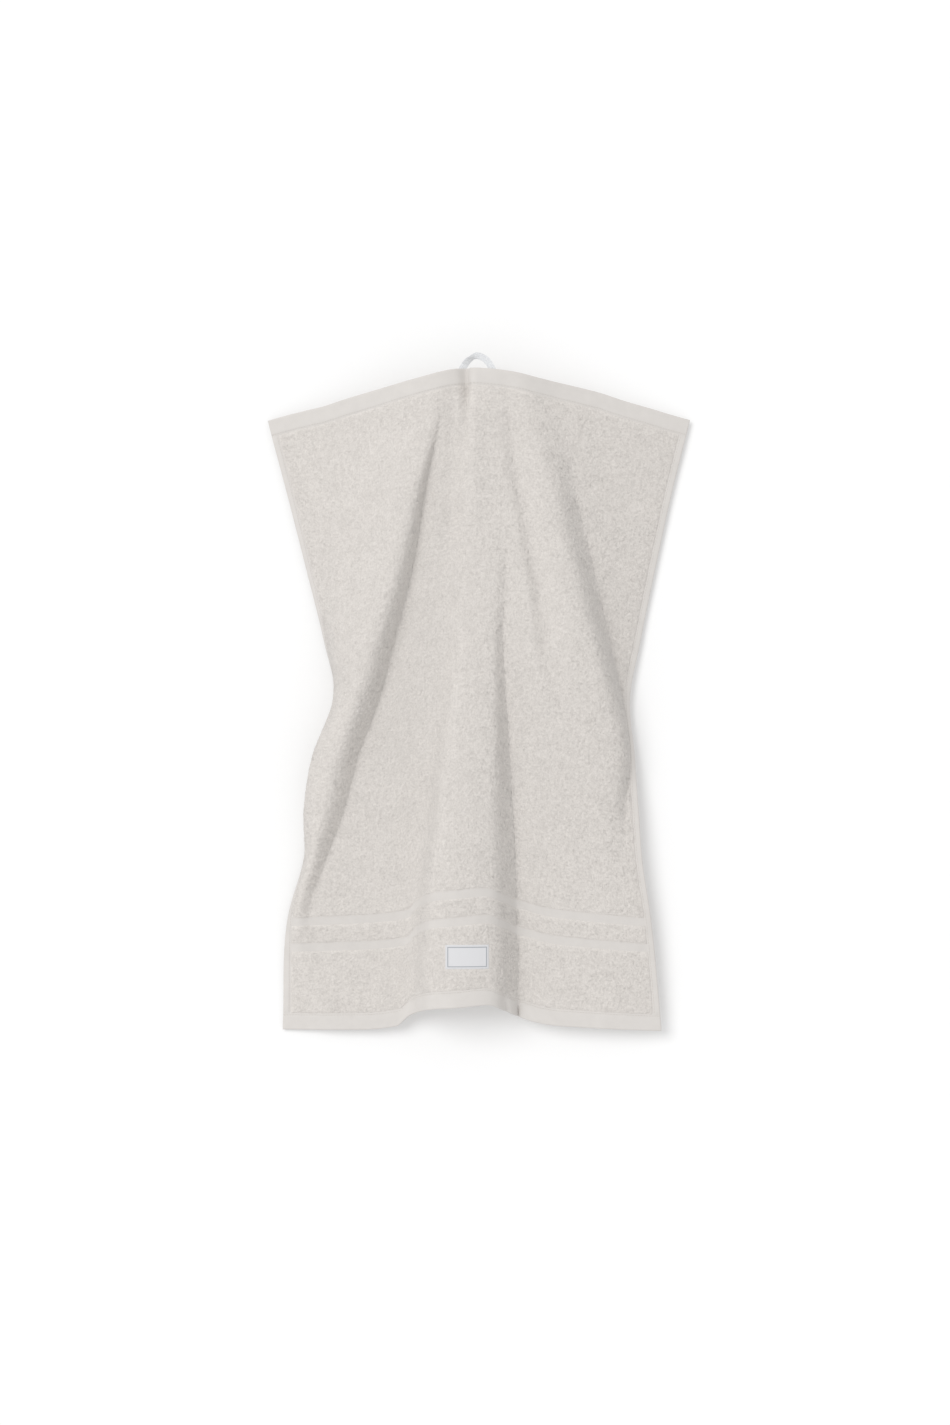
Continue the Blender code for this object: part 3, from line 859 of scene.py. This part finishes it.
# A wave texture has 20 radians of wave in each unit of its scale
WAVE_SCALE = 1 / (THREAD_MM * 20 / (2 * math.pi))
ribs = []
for direction in ("X", "Y"):
    wave = add_node(tree, "ShaderNodeTexWave", {"bands_direction": direction},
                    {"Scale": WAVE_SCALE, "Distortion": 0.6, "Detail": 1.0}, {"Vector": where})
    ribs.append(wave.outputs["Fac"])
weave = add_node(tree, "ShaderNodeMath", {"operation": "MULTIPLY"}, links={0: ribs[0], 1: ribs[1]})
bump_from(tree, shader, weave.outputs["Value"], distance_mm=0.15, strength=0.35)

# %% [markdown]
# Cotton sewing thread: twisted, and a little smoother than the yarn. Its colour is set a shade darker as
# painted shade, for the dip that it pulls into the cloth. The stitches have no flat place of their own, so
# its twist reads Object coordinates.

# %% Finish of the sewing thread
TWIST_PER_METRE = 1800.0
# The thread's own colour with painted shade of the seam's dip mixed in, so it is darker than the yarn
thread, tree, shader = new_finish("twisted cotton thread", colour="C6C1BB", roughness=0.8, sheen=0.15)
object_place = add_node(tree, "ShaderNodeTexCoord")
twist = add_node(tree, "ShaderNodeTexNoise", {}, {"Scale": TWIST_PER_METRE, "Detail": 2.0},
                 {"Vector": object_place.outputs["Object"]})
bump_from(tree, shader, twist.outputs["Fac"], distance_mm=0.1, strength=0.5)

# %% [markdown]
# Bleached cotton tape in herringbone weave: cooler and whiter than the towel, with a faint blue cast. The
# slanting ribs are in the mesh, and the bump adds the single threads.

# %% Finish of the tape
TAPE_THREADS_PER_MM = 2.2
tape_finish, tree, shader = new_finish("bleached herringbone tape", colour="DFE3E6", roughness=0.85,
                                       sheen=0.15)
where = flat_millimetres(tree)
mottle(tree, shader, where, size_mm=1.3, colours=("CDCFD2", "ECEDEE"))
threads = add_node(tree, "ShaderNodeTexNoise", {}, {"Scale": TAPE_THREADS_PER_MM, "Detail": 2.0},
                   {"Vector": where})
bump_from(tree, shader, threads.outputs["Fac"], distance_mm=0.2, strength=0.5)

# %% [markdown]
# Satin label weave: fine smooth yarn, cooler in colour than the towel. The thin line along its border is
# woven in a greyer thread. It is drawn from the distance to the label's edge, which the UV map gives in
# millimetres.

# %% Finish of the label
label_finish, tree, shader = new_finish("satin label weave", colour="DCDEE4", roughness=0.7, sheen=0.1)
where = flat_millimetres(tree)
parts = add_node(tree, "ShaderNodeSeparateXYZ", links={"Vector": where})
insets = []
for axis, size in (("X", LABEL_WIDTH), ("Y", LABEL_HEIGHT)):
    centred = add_node(tree, "ShaderNodeMath", {"operation": "SUBTRACT"}, {1: size / 2},
                       {0: parts.outputs[axis]})
    away = add_node(tree, "ShaderNodeMath", {"operation": "ABSOLUTE"}, links={0: centred.outputs["Value"]})
    inset = add_node(tree, "ShaderNodeMath", {"operation": "SUBTRACT"}, {0: size / 2},
                     {1: away.outputs["Value"]})
    insets.append(inset.outputs["Value"])
inset = add_node(tree, "ShaderNodeMath", {"operation": "MINIMUM"}, links={0: insets[0], 1: insets[1]})
from_line = add_node(tree, "ShaderNodeMath", {"operation": "SUBTRACT"}, {1: FRAME_INSET},
                     {0: inset.outputs["Value"]})
beside = add_node(tree, "ShaderNodeMath", {"operation": "ABSOLUTE"}, links={0: from_line.outputs["Value"]})
line = add_node(tree, "ShaderNodeMapRange", {}, {"From Min": FRAME_WIDTH / 2, "From Max": FRAME_WIDTH},
                {"Value": beside.outputs["Value"]})
# The Mix node's colours go in at 6 and 7 and come out at 2
mix = add_node(tree, "ShaderNodeMix", {"data_type": "RGBA"}, {6: linear("A4A7AC"), 7: linear("D5D5D7")},
               {0: line.outputs["Result"]})
tree.links.new(mix.outputs[2], shader.inputs["Base Color"])
SATIN_SCALE = 0.6
wave = add_node(tree, "ShaderNodeTexWave", {"bands_direction": "Y"},
                {"Scale": SATIN_SCALE, "Distortion": 1.0}, {"Vector": where})
bump_from(tree, shader, wave.outputs["Fac"], distance_mm=0.08, strength=0.5)

# %% [markdown]
# ## Which piece stands for what
# Every piece rides on the part's one body. The ground cloth stands for the plain solid cloth, with the pile
# and the sewing as pieces on it.

# %% Put on the finishes and tie the pieces to the imported model
front_stitches = bpy.data.objects["front_hem_stitches"]
back_stitches = bpy.data.objects["back_hem_stitches"]
wearing = {
    terry: (pile_pieces, "terry"),
    flat_weave: ([ground], "terry"),
    thread: ([front_stitches, back_stitches], "terry"),
    tape_finish: ([tape], "tape"),
    label_finish: ([label, label_stitches], "label"),
}
for finish, (pieces, slot) in wearing.items():
    for piece in pieces:
        piece.data.materials.clear()
        piece.data.materials.append(finish)
        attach(piece, "root")
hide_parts("towel")
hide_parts("hanging_loop")
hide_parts("woven_label")
every_piece = [piece for pieces, _ in wearing.values() for piece in pieces]
print("triangles in all:", sum(triangles(piece) for piece in every_piece))

# %% [markdown]
# ## Wall, light and camera
# The towel hangs close to a plain pale wall. Light is very soft: a pale sky all round, and one broad sun
# from the upper left in front, which turns the right-hand side of each fold a little darker. The wall and
# the floor are seen only from in front and don't hold light back, so the back of the towel can be looked
# at as well.

# %% Wall and floor
WALL_DEPTH = 0.050
FLOOR_HEIGHT = -1.45
STAGE_SIZE = 6.0
stage_finish, tree, shader = new_finish("matt white paint", colour="F4F4F4", roughness=0.95, sheen=0.0)
geometry = add_node(tree, "ShaderNodeNewGeometry")
clear = add_node(tree, "ShaderNodeBsdfTransparent")
output = tree.nodes["Material Output"]
see = add_node(tree, "ShaderNodeMixShader", links={
    0: geometry.outputs["Backfacing"], 1: shader.outputs["BSDF"], 2: clear.outputs["BSDF"]})
tree.links.new(see.outputs["Shader"], output.inputs["Surface"])
for name, place, tilt in (
        ("wall", (0, WALL_DEPTH, FLOOR_HEIGHT + STAGE_SIZE / 2), (math.radians(90), 0, 0)),
        ("floor", (0, WALL_DEPTH - STAGE_SIZE / 2, FLOOR_HEIGHT), (0, 0, 0))):
    bpy.ops.object.select_all(action="DESELECT")
    bpy.ops.mesh.primitive_plane_add(size=STAGE_SIZE, location=place, rotation=tilt)
    plane = bpy.context.object
    plane.name = plane.data.name = name
    plane.data.materials.append(stage_finish)
    plane.visible_diffuse = False
    plane.visible_glossy = False
    plane.visible_shadow = False
    plane.visible_transmission = False
print(f"wall {WALL_DEPTH / MM:.0f} mm behind the towel's hanging point")

# %% [markdown]
# The sky gives most of the light and fills the folds. The sun is as wide as a large window, so its
# shadows have soft borders. The camera sees a plain pale backdrop instead of the sky.

# %% Light
SKY_STRENGTH = 0.85
SUN_STRENGTH = 1.13
SUN_WIDTH = 32
SUN_HEADING = Vector((0.46, 0.78, -0.36))
scene = bpy.context.scene
scene.view_settings.view_transform = "Standard"
world = bpy.data.worlds.new("pale studio")
scene.world = world
world.use_nodes = True
tree = world.node_tree
background = tree.nodes["Background"]
background.inputs["Color"].default_value = linear("FFFFFF")
background.inputs["Strength"].default_value = SKY_STRENGTH
seen = add_node(tree, "ShaderNodeBackground", {}, {"Color": linear("FAFAFA"), "Strength": 1.0})
ray = add_node(tree, "ShaderNodeLightPath")
mixed = add_node(tree, "ShaderNodeMixShader", links={
    0: ray.outputs["Is Camera Ray"], 1: background.outputs["Background"], 2: seen.outputs["Background"]})
tree.links.new(mixed.outputs["Shader"], tree.nodes["World Output"].inputs["Surface"])

bpy.ops.object.light_add(type="SUN", location=(-1.0, -1.5, 1.0))
sun = bpy.context.object
sun.name = "broad soft sun"
sun.data.energy = SUN_STRENGTH
sun.data.angle = math.radians(SUN_WIDTH)
sun.rotation_mode = "QUATERNION"
sun.rotation_quaternion = SUN_HEADING.to_track_quat("-Z", "Y")
print(f"sky {SKY_STRENGTH}, sun {SUN_STRENGTH} and {SUN_WIDTH} degrees wide")

# %% [markdown]
# The camera looks level and straight at the wall. From 3 m away there is little perspective, as in the
# photograph. Its distance and the height that it sees are in metres.

# %% Camera at the photograph's angle
VIEW_DISTANCE = 3.0
VIEW_MIDDLE = (-0.0022, -0.3891)
VIEW_HEIGHT = 1.539
SENSOR_WIDTH = 36.0
bpy.ops.object.camera_add(location=(VIEW_MIDDLE[0], -VIEW_DISTANCE, VIEW_MIDDLE[1]),
                          rotation=(math.radians(90), 0, 0))
camera = bpy.context.object
camera.data.sensor_width = SENSOR_WIDTH
camera.data.lens = camera.data.sensor_width * VIEW_DISTANCE / VIEW_HEIGHT
camera.data.clip_end = 50.0
scene.camera = camera
print(f"camera: {camera.data.lens:.1f} mm lens at {VIEW_DISTANCE} m")
